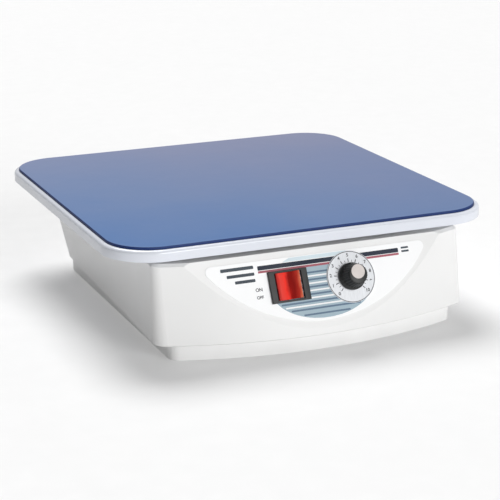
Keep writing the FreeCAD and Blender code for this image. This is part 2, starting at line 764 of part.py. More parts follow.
def make_crank():
    seat = "bearing_radius + fit_clearance"
    pillar = turned("bearing_pillar_blank", [
        (seat, "0"), ("pillar_flange_radius", "0"), ("pillar_flange_radius", "flange_thickness"),
        ("pillar_radius", "flange_thickness"), ("pillar_radius", "pillar_height"), (seat, "pillar_height"),
        (seat, "pillar_height - bearing_height"),
        ("bearing_radius - bearing_ledge", "pillar_height - bearing_height"),
        ("bearing_radius - bearing_ledge", "bearing_height"), (seat, "bearing_height")], z="z_bed")
    keep(cut("bearing_pillar", pillar, *holes("pillar_screw_hole", "big_hole",
                                              ("z_bed - overrun", "z_bed + flange_thickness + overrun"),
                                              PILLAR_SCREWS)))
    bore = "crankshaft_radius + run_clearance"
    make_bearing("lower_bearing", "bearing_radius", bore, "bearing_height", "0", "z_bed")
    make_bearing("upper_bearing", "bearing_radius", bore, "bearing_height", "0", "z_pillar - bearing_height")
    shaft_low = "z_bed + shaft_end"
    collar_low = "z_pillar + collar_gap"
    shaft_top = "z_disc + shaft_engagement"
    keep(turned("crankshaft", [
        ("0", shaft_low), ("crankshaft_radius", shaft_low), ("crankshaft_radius", collar_low),
        ("crankshaft_radius + shaft_collar", collar_low), ("crankshaft_radius + shaft_collar", "z_pulley"),
        ("crankshaft_radius", "z_pulley"), ("crankshaft_radius", shaft_top), ("0", shaft_top)]))
    hold_bore = "crankshaft_radius + fit_clearance"
    pulley = turned("driven_pulley_blank", [
        (hold_bore, "0"), ("rim_lip_radius", "0"), ("rim_lip_radius", "lip_thickness"),
        ("pulley_radius", "lip_thickness"), ("pulley_radius", "pulley_thickness - lip_thickness"),
        ("rim_lip_radius", "pulley_thickness - lip_thickness"), ("rim_lip_radius", "pulley_thickness"),
        (hold_bore, "pulley_thickness")], z="z_pulley")
    keep(cut("driven_pulley", pulley,
             *holes("pulley_screw_hole", "big_hole", ("z_pulley - overrun", "z_disc + overrun"),
                    WEIGHT_SCREWS)))
    pin_low = "z_disc_top - pin_engagement"
    keep(cut("eccentric_disc", rod("eccentric_disc_blank", "crank_disc_radius", ("z_disc", "z_disc_top")),
             rod("disc_shaft_bore", hold_bore, ("z_disc - overrun", shaft_top)),
             rod("disc_pin_bore", "crank_pin_radius + fit_clearance", (pin_low, "z_disc_top + overrun"),
                 y="orbit_radius")))
    keep(rod("crank_pin", "crank_pin_radius", (pin_low, "z_hub_flange"), y="orbit_radius"))
    sector = doc.addObject("Part::Cylinder", "counterweight_sector")
    sector.setExpression("Radius", link("weight_outer_radius"))
    sector.setExpression("Height", link("weight_thickness"))
    sector.setExpression("Angle", link("weight_angle"))
    sector.Placement = FreeCAD.Placement(FreeCAD.Vector(), FreeCAD.Rotation(FreeCAD.Vector(0, 0, 1), 190))
    sector.setExpression("Placement.Rotation.Angle", link("270 - weight_angle / 2"))
    move(sector, z="z_disc")
    weight_top = "z_disc + weight_thickness"
    weight_span = ("z_disc - overrun", f"{weight_top} + overrun")
    keep(cut("counterweight", sector,
             rod("counterweight_core", "weight_inner_radius", weight_span),
             *holes("counterweight_hole", "big_hole", weight_span, WEIGHT_SCREWS)))
    keep(group("counterweight_screws", screws("counterweight_screw", "big",
                                              "weight_thickness + pulley_thickness / 2", weight_top,
                                              WEIGHT_SCREWS)))


def make_platform():
    body = doc.addObject("PartDesign::Body", "platform_shell")
    half, radius = "platform_side / 2", "platform_radius"
    outline = sketch_on(body, "rim_outline", "XY_Plane", "z_rim")
    square(outline, half, radius)
    pad(body, "rim_pad", outline, "rim_height")
    top = number("z_top")
    round_edges(body, "rim_edge_round", "rim_round",
                lambda edge: min(vertex.Z for vertex in edge.Vertexes) > top - TOLERANCE)
    under = sketch_on(body, "skirt_inside", "XY_Plane", "z_rim")
    square(under, f"{half} - skirt_wall", f"{radius} - skirt_wall")
    pocket(body, "skirt_pocket", under, "rim_height - tray_plate", upwards=True)
    seat = sketch_on(body, "mat_seat", "XY_Plane", "z_top")
    room = "mat_side / 2 + mat_clearance"
    square(seat, room, "mat_radius + mat_clearance")
    pocket(body, "mat_pocket", seat, "mat_recess")
    move(body, y="orbit_radius")
    bosses = holes("pin_boss", "idler_boss_radius", ("z_boss", "z_plate + idler_boss_bite"), IDLER_PINS)
    keep(cut("platform_tray", join("platform_tray_blank", body, *bosses),
             *holes("pin_boss_bore", "idler_bush_radius + fit_clearance", ("z_boss - overrun", "z_plate"),
                    IDLER_PINS),
             *holes("hub_screw_pilot", "big_hole", ("z_plate - overrun", "z_mat"), HUB_SCREWS)))
    mat = doc.addObject("PartDesign::Body", "platform_mat")
    sheet_outline = sketch_on(mat, "mat_outline", "XY_Plane", "z_mat")
    square(sheet_outline, "mat_side / 2", "mat_radius")
    pad(mat, "mat_pad", sheet_outline, "mat_thickness")
    mat_top = number("z_mat + mat_thickness")
    round_edges(mat, "mat_edge_round", "mat_round",
                lambda edge: min(vertex.Z for vertex in edge.Vertexes) > mat_top - TOLERANCE)
    keep(move(mat, y="orbit_radius"))
    bearing_bore = "hub_bearing_radius + fit_clearance"
    roof = "z_plate - hub_roof"
    hub = turned("platform_hub_blank", [
        (bearing_bore, "z_hub"), ("hub_radius", "z_hub"), ("hub_radius", "z_hub_flange"),
        ("hub_flange_radius", "z_hub_flange"), ("hub_flange_radius", "z_plate"), ("0", "z_plate"),
        ("0", roof), ("hub_bearing_radius - bearing_ledge", roof),
        ("hub_bearing_radius - bearing_ledge", "z_hub_roof"), (bearing_bore, "z_hub_roof")], y="orbit_radius")
    keep(cut("platform_hub", hub, *holes("hub_screw_hole", "big_hole",
                                         ("z_hub_flange - overrun", "z_plate + overrun"), HUB_SCREWS)))
    make_bearing("hub_bearing", "hub_bearing_radius", "crank_pin_radius + run_clearance", "bearing_height",
                 "orbit_radius", "z_hub_bearing")
    keep(group("hub_screws", screws("hub_screw", "big", "z_mat - z_hub_flange - hub_screw_end",
                                    "z_hub_flange", HUB_SCREWS, upwards=True)))
    bushes = [turned(f"platform_bush_{index}", [
        ("idler_pin_radius + idler_pin_clearance", "z_boss"), ("idler_bush_radius", "z_boss"),
        ("idler_bush_radius", "z_plate"), ("idler_pin_radius + idler_pin_clearance", "z_plate")], x, y)
        for index, (x, y) in enumerate(IDLER_PINS, start=1)]
    keep(group("platform_pin_bushes", bushes))


def make_idlers():
    bush_low = "z_post - idler_bush_length"
    bushes = []
    for name, (x, y) in zip(CORNERS, IDLERS):
        post = join(f"post_{name}_blank",
                    rod(f"post_{name}_column", "idler_post_radius", ("z_bed", "z_post"), x, y),
                    rod(f"post_{name}_spigot", "idler_post_radius / 2", ("z_chassis", "z_bed"), x, y))
        keep(cut(f"idler_post_{name}", post,
                 rod(f"post_{name}_bore", "idler_bush_radius + fit_clearance",
                     (bush_low, "z_post + overrun"), x, y),
                 rod(f"post_{name}_well", "idler_pin_radius + overrun",
                     (f"{bush_low} - idler_well", f"{bush_low} + overrun"), x, y)))
        bore = "idler_pin_radius + run_clearance"
        bushes.append(turned(f"post_bush_{name}", [
            (bore, bush_low), ("idler_bush_radius", bush_low), ("idler_bush_radius", "z_post"),
            ("idler_bush_flange_radius", "z_post"),
            ("idler_bush_flange_radius", "z_post + idler_bush_flange"),
            (bore, "z_post + idler_bush_flange")], x, y))
        pin_y = f"{y} + orbit_radius"
        keep(join(f"idler_crank_{name}",
                  rod(f"idler_{name}_spindle", "idler_pin_radius",
                      (f"{bush_low} - idler_well + idler_pin_end", "z_arm_top"), x, y),
                  rod(f"idler_{name}_eye", "idler_arm_radius", ("z_arm", "z_arm_top"), x, y),
                  rod(f"idler_{name}_end", "idler_arm_radius", ("z_arm", "z_arm_top"), x, pin_y),
                  box(f"idler_{name}_arm", span(x, "2 * idler_arm_radius"), (y, pin_y),
                      ("z_arm", "z_arm_top")),
                  rod(f"idler_{name}_pin", "idler_pin_radius",
                      ("z_arm", "z_plate - idler_pin_end"), x, pin_y)))
    keep(group("idler_post_bushes", bushes))


def belt_loop(sketch, large, small):
    """Open belt loop round the driven pulley at the origin and the motor pulley on +X."""
    big, little, reach = number(large), number(small), number("motor_x")
    lean = math.acos((big - little) / reach)
    vector = FreeCAD.Vector
    big_x, big_y = big * math.cos(lean), big * math.sin(lean)
    small_x, small_y = reach + little * math.cos(lean), little * math.sin(lean)
    first = chain(sketch, [
        arc((0, 0), big, lean, 2 * math.pi - lean),
        Part.LineSegment(vector(big_x, -big_y, 0), vector(small_x, -small_y, 0)),
        arc((reach, 0), little, -lean, lean),
        Part.LineSegment(vector(small_x, small_y, 0), vector(big_x, big_y, 0)),
    ])
    sketch.addConstraint(Sketcher.Constraint("Coincident", first, 3, -1, 1))
    hold(sketch, "DistanceX", "motor_x", -1, 1, first + 2, 3)
    hold(sketch, "DistanceY", "0", -1, 1, first + 2, 3)
    hold(sketch, "Radius", large, first)
    hold(sketch, "Radius", small, first + 2)


def make_drive():
    sheet_top = ("z_bracket", "z_pillar")
    width = span("motor_x", "bracket_width")
    folds = [box("bracket_top", width, span("0", "bracket_span"), sheet_top)]
    for name, sign in (("left", "-1"), ("right", "1")):
        leg = (f"{sign} * bracket_span / 2", f"{sign} * (bracket_span / 2 - bracket_sheet)")
        foot = (f"{sign} * (bracket_span / 2 + bracket_foot)", leg[1])
        if sign == "1":
            leg, foot = leg[::-1], foot[::-1]
        folds.append(box(f"bracket_{name}_leg", width, leg, ("z_bed", "z_pillar")))
        folds.append(box(f"bracket_{name}_foot", width, foot, ("z_bed", "z_bed + bracket_sheet")))
    keep(cut("motor_bracket", join("motor_bracket_blank", *folds),
             rod("bracket_spigot_hole", "motor_spigot_radius + hole_clearance",
                 ("z_bracket - overrun", "z_pillar + overrun"), "motor_x"),
             *holes("bracket_motor_hole", "small_hole", ("z_bracket - overrun", "z_pillar + overrun"),
                    MOTOR_SCREWS),
             *holes("bracket_foot_hole", "big_hole", ("z_bed - overrun", "z_bed + bracket_sheet + overrun"),
                    BRACKET_SCREWS)))
    spigot_top = "z_bracket + motor_spigot_height"
    shaft_low = "z_bracket - motor_height / 2"
    motor = join("motor_blank",
                 rod("motor_can", "motor_radius", ("z_bracket - motor_height", "z_bracket"), "motor_x"),
                 rod("motor_spigot", "motor_spigot_radius", ("z_bracket - overrun", spigot_top), "motor_x"))
    keep(cut("motor_body", motor,
             rod("motor_bore", "motor_shaft_radius + run_clearance",
                 (shaft_low, f"{spigot_top} + overrun"), "motor_x"),
             *holes("motor_thread", "small_hole",
                    ("z_pillar - small_screw_length - hole_end", "z_bracket + overrun"),
                    MOTOR_SCREWS)))
    keep(rod("motor_shaft", "motor_shaft_radius", (f"{shaft_low} + motor_shaft_end", "z_disc"), "motor_x"))
    lip = "motor_pulley_radius + motor_pulley_lip"
    bore = "motor_shaft_radius + fit_clearance"
    keep(turned("motor_pulley", [
        (bore, "0"), (lip, "0"), (lip, "lip_thickness"), ("motor_pulley_radius", "lip_thickness"),
        ("motor_pulley_radius", "pulley_thickness - lip_thickness"),
        (lip, "pulley_thickness - lip_thickness"), (lip, "pulley_thickness"), (bore, "pulley_thickness")],
        "motor_x", "0", "z_pulley"))
    belt = doc.addObject("PartDesign::Body", "drive_belt")
    low = "z_pulley + lip_thickness + belt_clearance"
    loop = sketch_on(belt, "belt_loop", "XY_Plane", low)
    belt_loop(loop, "pulley_radius + belt_clearance + belt_thickness",
              "motor_pulley_radius + belt_clearance + belt_thickness")
    belt_loop(loop, "pulley_radius + belt_clearance", "motor_pulley_radius + belt_clearance")
    pad(belt, "belt_pad", loop, "pulley_thickness - 2 * (lip_thickness + belt_clearance)")
    keep(belt)


def make_switch():
    panel = ("switch_x", "switch_drop")
    face = "overlay_thickness"
    proud = "overlay_thickness + bezel_thickness"
    window_x = "rocker_width + 2 * rocker_play"
    window_y = "rocker_height + 2 * rocker_play"
    pivot = "-rocker_pivot_depth"
    well = "-(rocker_pivot_depth + rocker_width / 2)"
    blank = join("switch_blank",
                 box("switch_flange", span("0", "bezel_width"), span("0", "bezel_height"), (face, proud)),
                 box("switch_case", span("0", "switch_body_width"), span("0", "switch_body_height"),
                     ("-switch_depth", proud)))
    bore = rod_y("trunnion_bore", "trunnion_radius + run_clearance",
                 span("0", "bezel_height + 2 * overrun"), "0", pivot)
    switch = cut("switch_body", blank,
                 box("switch_window", span("0", window_x), span("0", window_y),
                     (well, f"{proud} + overrun")), bore)
    keep(on_panel(switch, *panel))
    tabs = []
    for index, (x, y) in enumerate(four("switch_body_width / 4", "switch_body_height / 4"), start=1):
        tab = box(f"terminal_{index}", span(x, "terminal_thickness"), span(y, "terminal_width"),
                  ("-switch_depth - terminal_length", "-switch_depth"))
        tabs.append(tab)
    keep(on_panel(group("switch_terminals", tabs), *panel))
    body = doc.addObject("PartDesign::Body", "rocker_cap")
    profile = sketch_on(body, "rocker_profile", "XZ_Plane", "-rocker_height / 2")
    half = "rocker_width / 2"
    keel, keel_low = f"{half} - rocker_keel_draft", "-rocker_keel"
    tip, valley = f"{half} - rocker_tip_draft", "rocker_reach - rocker_valley"
    polygon(profile, [(f"-({keel})", keel_low), (keel, keel_low), (half, "0"), (tip, "rocker_reach"),
                      ("0", valley), (f"-({tip})", "rocker_reach"), (f"-{half}", "0")])
    pad(body, "rocker_pad", profile, "rocker_height")
    pins = rod_y("rocker_trunnion", "trunnion_radius",
                 span("0", "switch_body_height - 2 * trunnion_end"), "0", "0")
    upright = join("rocker_upright", body, pins)
    upright.Placement = FreeCAD.Placement(FreeCAD.Vector(), FreeCAD.Rotation(FreeCAD.Vector(0, -1, 0), 10))
    upright.setExpression("Placement.Rotation.Angle", link("rocker_tilt"))
    move(upright, z=pivot)
    rocker = group("switch_rocker", [upright])
    keep(on_panel(rocker, *panel))


def make_speed_control():
    panel = ("knob_x", "knob_drop")
    nut_low = "overlay_thickness + dial_thickness"
    nut_top = f"{nut_low} + pot_nut_thickness"
    knob_low = f"{nut_low} + knob_gap"
    knob_top = f"{knob_low} + knob_height"
    well = "-(wall + pot_depth / 2)"
    pot = join("pot_blank",
               rod("pot_case", "pot_radius", ("-(wall + pot_depth)", "-wall")),
               rod("pot_bush", "pot_bush_radius", ("-wall - overrun", "pot_bush_length")))
    keep(on_panel(cut("speed_pot", pot, rod("pot_bore", "pot_shaft_radius + run_clearance",
                                            (well, "pot_bush_length + overrun"))), *panel))
    nut = doc.addObject("Part::Prism", "pot_nut_blank")
    nut.Polygon = 6
    nut.setExpression("Circumradius", link("pot_nut_flats / sqrt(3)"))
    nut.setExpression("Height", link("pot_nut_thickness"))
    move(nut, z=nut_low)
    keep(on_panel(cut("pot_nut", nut, rod("pot_nut_bore", "pot_bush_radius + hole_clearance",
                                          (f"{nut_low} - overrun", f"{nut_top} + overrun"))), *panel))
    keep(on_panel(cut("dial_plate", rod("dial_blank", "dial_radius", ("overlay_thickness", nut_low)),
                      rod("dial_bore", "pot_bush_radius + hole_clearance",
                          ("0", f"{nut_low} + overrun"))), *panel))
    shaft_top = f"{knob_top} - knob_wall - knob_cap_thickness"
    shaft = rod("pot_shaft_rod", "pot_shaft_radius", (f"{well} + pot_shaft_end", shaft_top))
    keep(on_panel(group("pot_shaft", [shaft]), *panel))
    recess = "knob_base_radius - knob_wall"
    recess_top = "pot_bush_length + knob_gap"
    bore = "pot_shaft_radius + fit_clearance"
    turned_knob = turned("knob_blank", [
        (recess, knob_low), ("knob_base_radius", knob_low), ("knob_base_radius", f"{knob_low} + knob_skirt"),
        ("knob_tip_radius", f"{knob_top} - knob_edge"),
        ("knob_tip_radius - knob_edge", knob_top), ("0", knob_top),
        ("0", f"{shaft_top} + fit_clearance"), (bore, f"{shaft_top} + fit_clearance"), (bore, recess_top),
        ("pot_bush_radius + knob_gap", recess_top), (recess, f"{nut_top} + knob_gap")])
    cap_low = f"{knob_top} - knob_cap_thickness"
    keep(on_panel(cut("control_knob", turned_knob,
                      rod("knob_cap_seat", "knob_cap_radius + fit_clearance",
                          (cap_low, f"{knob_top} + overrun"), y="knob_cap_offset")), *panel))
    keep(on_panel(group("knob_cap", [rod("knob_cap_disc", "knob_cap_radius",
                                         (cap_low, f"{knob_top} + knob_cap_thickness / 4"),
                                         y="knob_cap_offset")]), *panel))


def make_overlay():
    """Printed label: a thin sheet on the panel with a straight top edge and a round lower one."""
    body = doc.addObject("PartDesign::Body", "overlay_blank")
    sketch = sketch_on(body, "overlay_outline", "XY_Plane")
    half, sag = number("overlay_width / 2"), number("overlay_height")
    radius = "((overlay_width / 2) ^ 2 + overlay_height ^ 2) / (2 * overlay_height)"
    bend = math.asin(half / number(radius))
    quarter = math.pi / 2
    sketch.addGeometry(Part.LineSegment(FreeCAD.Vector(half, 0, 0), FreeCAD.Vector(-half, 0, 0)), False)
    sketch.addGeometry(arc((0, number(radius) - sag), number(radius), -quarter - bend, bend - quarter), False)
    for line, curve in ((1, 2), (2, 1)):
        sketch.addConstraint(Sketcher.Constraint("Coincident", 0, line, 1, curve))
    for point, size in ((1, "overlay_width / 2"), (2, "-overlay_width / 2")):
        hold(sketch, "DistanceX", size, -1, 1, 0, point)
        hold(sketch, "DistanceY", "0", -1, 1, 0, point)
    hold(sketch, "Radius", radius, 1)
    pad(body, "overlay_pad", sketch, "overlay_thickness")
    round_edges(body, "overlay_corners", "overlay_round",
                lambda edge: edge.BoundBox.XLength < edge.BoundBox.ZLength)
    through = ("-overrun", "overlay_thickness + overrun")
    switch_way = box("overlay_switch_way", span("switch_x", "switch_body_width + 2 * switch_play"),
                     span("overlay_top - switch_drop", "switch_body_height + 2 * switch_play"), through)
    pot_way = rod("overlay_pot_way", "pot_bush_radius + switch_play", through, "knob_x",
                  "overlay_top - knob_drop")
    keep(on_panel(cut("control_overlay", body, switch_way, pot_way), "0", "overlay_top"))


def make_board():
    level = ("z_board", "z_parts")
    keep(cut("controller_board", box("board_blank", span("board_x", "board_width"),
                                     span("board_y", "board_depth"), level),
             *holes("board_hole", "small_hole", ("z_board - overrun", "z_parts + overrun"), BOARD_SCREWS)))
    posts = [cut(f"standoff_{index}",
                 rod(f"standoff_{index}_rod", "standoff_radius", ("z_bed", "z_board"), x, y),
                 rod(f"standoff_{index}_bore", "small_hole",
                     ("z_parts - small_screw_length - hole_end", "z_parts"),
                     x, y)) for index, (x, y) in enumerate(BOARD_SCREWS, start=1)]
    keep(group("board_standoffs", posts))
    keep(group("small_screws",
               screws("motor_screw", "small", "small_screw_length", "z_pillar", MOTOR_SCREWS)
               + screws("board_screw", "small", "small_screw_length", "z_parts", BOARD_SCREWS)))
    core = box("transformer_core", span("transformer_x", "transformer_width"),
               span("part_y", "core_depth"), ("z_parts", "z_parts + transformer_height"))
    coil = box("transformer_coil", span("transformer_x", "coil_width"),
               span("part_y", "transformer_depth"), ("z_parts", "z_parts + coil_height"))
    keep(join("transformer", core, coil))
    keep(rod("filter_capacitor", "capacitor_radius", ("z_parts", "z_parts + capacitor_height"),
             "capacitor_x", "part_y"))
    back = box("heat_sink_back", span("heat_sink_x", "heat_sink_width"),
               span("part_y", "heat_sink_fin"), ("z_parts", "z_parts + heat_sink_height"))
    fins = [box(f"heat_sink_fin_{index}",
                span(f"heat_sink_x + ({index}) * (heat_sink_width - heat_sink_fin) / 4", "heat_sink_fin"),
                span("part_y", "heat_sink_depth"), ("z_parts", "z_parts + heat_sink_height"))
            for index in (-2, -1, 0, 1, 2)]
    keep(join("heat_sink", back, *fins))


def make_inlet():
    face = "deck_rear + inlet_flange_thickness"
    inner = f"{face} - inlet_body_depth"
    blank = join("inlet_blank",
                 box("inlet_flange", span("inlet_x", "inlet_flange_width"), ("deck_rear", face),
                     span("z_inlet", "inlet_flange_height")),
                 box("inlet_case", span("inlet_x", "inlet_body_width"), (inner, face),
                     span("z_inlet", "inlet_body_height")))
    mouth = box("inlet_mouth", span("inlet_x", "inlet_mouth_width"),
                (f"{face} - inlet_mouth_depth", f"{face} + overrun"), span("z_inlet", "inlet_mouth_height"))
    ways = [rod_y(f"inlet_screw_hole_{side}", "small_hole", ("deck_rear - overrun", f"{face} + overrun"),
                  f"inlet_x + ({side}) * inlet_screw_spacing / 2", "z_inlet") for side in (-1, 1)]
    places = [("-inlet_pin_spacing / 2", "-inlet_pin_step / 2"), ("0", "inlet_pin_step / 2"),
              ("inlet_pin_spacing / 2", "-inlet_pin_step / 2")]
    slots, pins = [], []
    for index, (x, rise) in enumerate(places, start=1):
        centre_x, centre_z = f"inlet_x + {x}", f"z_inlet + {rise}"
        ends = (f"{inner} - inlet_tab_length", f"{face} - inlet_pin_inset")
        pins.append(box(f"inlet_pin_{index}", span(centre_x, "inlet_pin_thickness"), ends,
                        span(centre_z, "inlet_pin_height")))
        slots.append(box(f"inlet_slot_{index}", span(centre_x, "inlet_pin_thickness + 2 * fit_clearance"),
                         (f"{inner} - overrun", f"{face} - inlet_mouth_depth + overrun"),
                         span(centre_z, "inlet_pin_height + 2 * fit_clearance")))
    keep(cut("power_inlet", blank, mouth, *ways, *slots))
    keep(group("inlet_pins", pins))
    rear_screws = []
    for side in (-1, 1):
        x = f"inlet_x + ({side}) * inlet_screw_spacing / 2"
        name = "left" if side < 0 else "right"
        blank = join(f"inlet_screw_{name}_blank",
                     rod_y(f"inlet_screw_{name}_head", "small_head_radius",
                           (face, f"{face} + small_head_height"), x, "z_inlet"),
                     rod_y(f"inlet_screw_{name}_shank", "small_screw_radius",
                           (f"{face} - small_screw_length - wall", face), x, "z_inlet"))
        slot = box(f"inlet_screw_{name}_slot", span(x, "2 * small_head_radius + overrun"),
                   (f"{face} + small_head_height / 2", f"{face} + 2 * small_head_height"),
                   span("z_inlet", "inlet_screw_slot"))
        rear_screws.append(cut(f"inlet_screw_{name}", blank, slot))
    keep(group("inlet_screws", rear_screws))


def write_parts():
    """Check every object, then write one file per sub-part."""
    doc.recompute()
    failed = [item.Label for item in doc.Objects if {"Invalid", "Error"} & set(item.State)]
    if failed:
        raise RuntimeError(f"failed objects: {failed}")
    for part in nodes:
        if part.Shape.isNull() or not part.Shape.isValid() or part.Shape.Volume < SMALLEST_VOLUME:
            raise RuntimeError(f"bad shape: {part.Label}")
    os.makedirs("parts", exist_ok=True)
    for part in nodes:
        part.Shape.exportStep(f"parts/{part.Label}.step")
    print(f"wrote {len(nodes)} sub-parts")


make_base_tray()
make_chassis()
make_feet()
make_housing()
make_crank()
make_platform()
make_idlers()
make_drive()
make_switch()
make_speed_control()
make_overlay()
make_board()
make_inlet()
write_parts()
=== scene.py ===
import json
import math

import bmesh
import bpy
from mathutils import Matrix, Vector


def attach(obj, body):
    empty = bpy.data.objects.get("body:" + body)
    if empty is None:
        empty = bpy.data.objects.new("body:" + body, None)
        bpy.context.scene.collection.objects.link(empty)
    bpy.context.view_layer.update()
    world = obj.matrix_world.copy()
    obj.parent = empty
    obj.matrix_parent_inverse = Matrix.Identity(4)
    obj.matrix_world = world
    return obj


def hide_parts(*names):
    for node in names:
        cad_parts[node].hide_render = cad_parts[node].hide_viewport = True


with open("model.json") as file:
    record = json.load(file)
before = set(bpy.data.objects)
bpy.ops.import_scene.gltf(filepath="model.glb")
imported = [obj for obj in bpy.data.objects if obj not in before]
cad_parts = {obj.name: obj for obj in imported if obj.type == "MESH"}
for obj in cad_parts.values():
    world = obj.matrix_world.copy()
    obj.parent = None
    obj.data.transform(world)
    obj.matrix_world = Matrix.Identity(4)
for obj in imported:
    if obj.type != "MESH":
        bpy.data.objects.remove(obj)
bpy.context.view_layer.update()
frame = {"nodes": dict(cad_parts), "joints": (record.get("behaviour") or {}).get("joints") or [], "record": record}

NODES = frame["nodes"]
SCENE = bpy.context.scene
MM = 0.001

# Control panel, square to the knob's axis. Places on it are in mm right of its middle and below its top edge
KNOB_TURN = next(joint for joint in frame["joints"] if joint["name"] == "knob_turn")
KNOB_DROP = 25.0
KNOB = (KNOB_TURN["pos_m"][0] / MM, KNOB_DROP)
RIGHT, OUT = Vector((1.0, 0.0, 0.0)), Vector(KNOB_TURN["axis"])
UP = OUT.cross(RIGHT)
PANEL_TOP = Vector(KNOB_TURN["pos_m"]) + (UP * KNOB_DROP - RIGHT * KNOB[0]) * MM


def panel_frame(x, drop, out=0.0):
    """Matrix at a place on the panel, out mm above it: X runs right, Y up the panel and Z out of it."""
    place = PANEL_TOP + (RIGHT * x - UP * drop + OUT * out) * MM
    return Matrix.Translation(place) @ Matrix((RIGHT, UP, OUT)).transposed().to_4x4()


def rise(name):
    """How far a CAD node stands out of the panel, in mm."""
    return max((vertex.co - PANEL_TOP).dot(OUT) for vertex in NODES[name].data.vertices) / MM


def box(name):
    """Lowest and highest corner of a CAD node, in metres."""
    corners = NODES[name].bound_box
    return Vector(corners[0]), Vector(corners[6])


# Shader nodes

def feed(tree, target, inputs):
    """Give each named input of a node a value, or a link to another node's output."""
    for socket, value in inputs.items():
        if isinstance(value, bpy.types.NodeSocket):
            tree.links.new(value, target.inputs[socket])
        else:
            target.inputs[socket].default_value = value


def node(tree, kind, inputs):
    made = tree.nodes.new(f"ShaderNode{kind}")
    feed(tree, made, inputs)
    return made


def shader(name):
    """New material with its tree, its surface shader and object coordinates."""
    made = bpy.data.materials.new(name)
    made.use_nodes = True
    tree = made.node_tree
    return made, tree, tree.nodes["Principled BSDF"], node(tree, "TexCoord", {}).outputs["Object"]


def noise(tree, place, scale, detail=4.0, stretch=(1.0, 1.0, 1.0)):
    stretched = node(tree, "Mapping", {"Vector": place, "Scale": stretch}).outputs["Vector"]
    return node(tree, "TexNoise", {"Vector": stretched, "Scale": scale, "Detail": detail}).outputs["Fac"]


def ramp(tree, value, stops):
    made = node(tree, "ValToRGB", {"Fac": value})
    elements = made.color_ramp.elements
    while len(elements) < len(stops):
        elements.new(0.5)
    for element, (position, colour) in zip(elements, stops):
        element.position = position
        element.color = (*colour, 1.0)
    return made.outputs["Color"]


def spread(tree, value, low, high, start=0.3, end=0.7):
    """Run from low to high while a value, by default a noise, goes from start to end."""
    return node(tree, "MapRange", {"Value": value, "From Min": start, "From Max": end,
                                   "To Min": low, "To Max": high}).outputs["Result"]


def uneven(tree, value, start, end, cloud, depth):
    """Run from 0 to 1 while a value goes from start to end, shifted here and there by a noise."""
    return node(tree, "Math", {0: spread(tree, value, 0.0, 1.0, start, end),
                               1: spread(tree, cloud, -depth, depth)}).outputs["Value"]


def bump(tree, surface, value, strength, depth):
    """Relief on a surface, with its depth in mm."""
    made = node(tree, "Bump", {"Height": value, "Strength": strength, "Distance": depth * MM})
    feed(tree, surface, {"Normal": made.outputs["Normal"]})


def shade(colour, factor):
    return tuple(min(1.0, c * factor) for c in colour)


# Kinds of material

def moulded(name, colour, rough, grain=2600.0, relief=0.12, vary=0.04):
    """Moulded plastic or rubber: slow colour drift, spark-eroded grain, patchy sheen."""
    made, tree, surface, place = shader(name)
    drift = ramp(tree, noise(tree, place, 14.0, 3.0), [(0.35, shade(colour, 1 - vary)),
                                                       (0.65, shade(colour, 1 + vary))])
    sheen = spread(tree, noise(tree, place, 60.0), rough * 0.85, min(1.0, rough * 1.15))
    feed(tree, surface, {"Base Color": drift, "Roughness": sheen})
    bump(tree, surface, noise(tree, place, grain, 2.0), relief, 0.08)
    return made


def metal(name, colour, rough, stretch=(1.0, 1.0, 30.0), scale=120.0, metallic=1.0):
    """Worked metal: fine lines square to the axis that its noise is squeezed along, or an even grain."""
    made, tree, surface, place = shader(name)
    lines = noise(tree, place, scale, 5.0, stretch)
    tone = ramp(tree, lines, [(0.3, shade(colour, 0.85)), (0.7, shade(colour, 1.08))])
    feed(tree, surface, {"Base Color": tone, "Metallic": metallic,
                         "Roughness": spread(tree, lines, rough * 0.75, rough * 1.25)})
    bump(tree, surface, lines, 0.08, 0.05)
    return made


def spun(name, colour, rough):
    """Knob cap turned on a lathe: rings about its middle."""
    made, tree, surface, place = shader(name)
    low, high = box("knob_cap")
    centred = node(tree, "Mapping", {"Vector": place, "Location": (low + high) / -2}).outputs["Vector"]
    rings = node(tree, "TexWave", {"Vector": centred, "Scale": 900.0, "Distortion": 1.5})
    rings.wave_type = "RINGS"
    rings.rings_direction = "SPHERICAL"
    fine = rings.outputs["Fac"]
    tone = ramp(tree, fine, [(0.0, shade(colour, 0.9)), (1.0, shade(colour, 1.06))])
    feed(tree, surface, {"Base Color": tone, "Metallic": 0.35,
                         "Roughness": spread(tree, fine, rough * 0.8, rough * 1.2)})
    bump(tree, surface, fine, 0.15, 0.04)
    return made


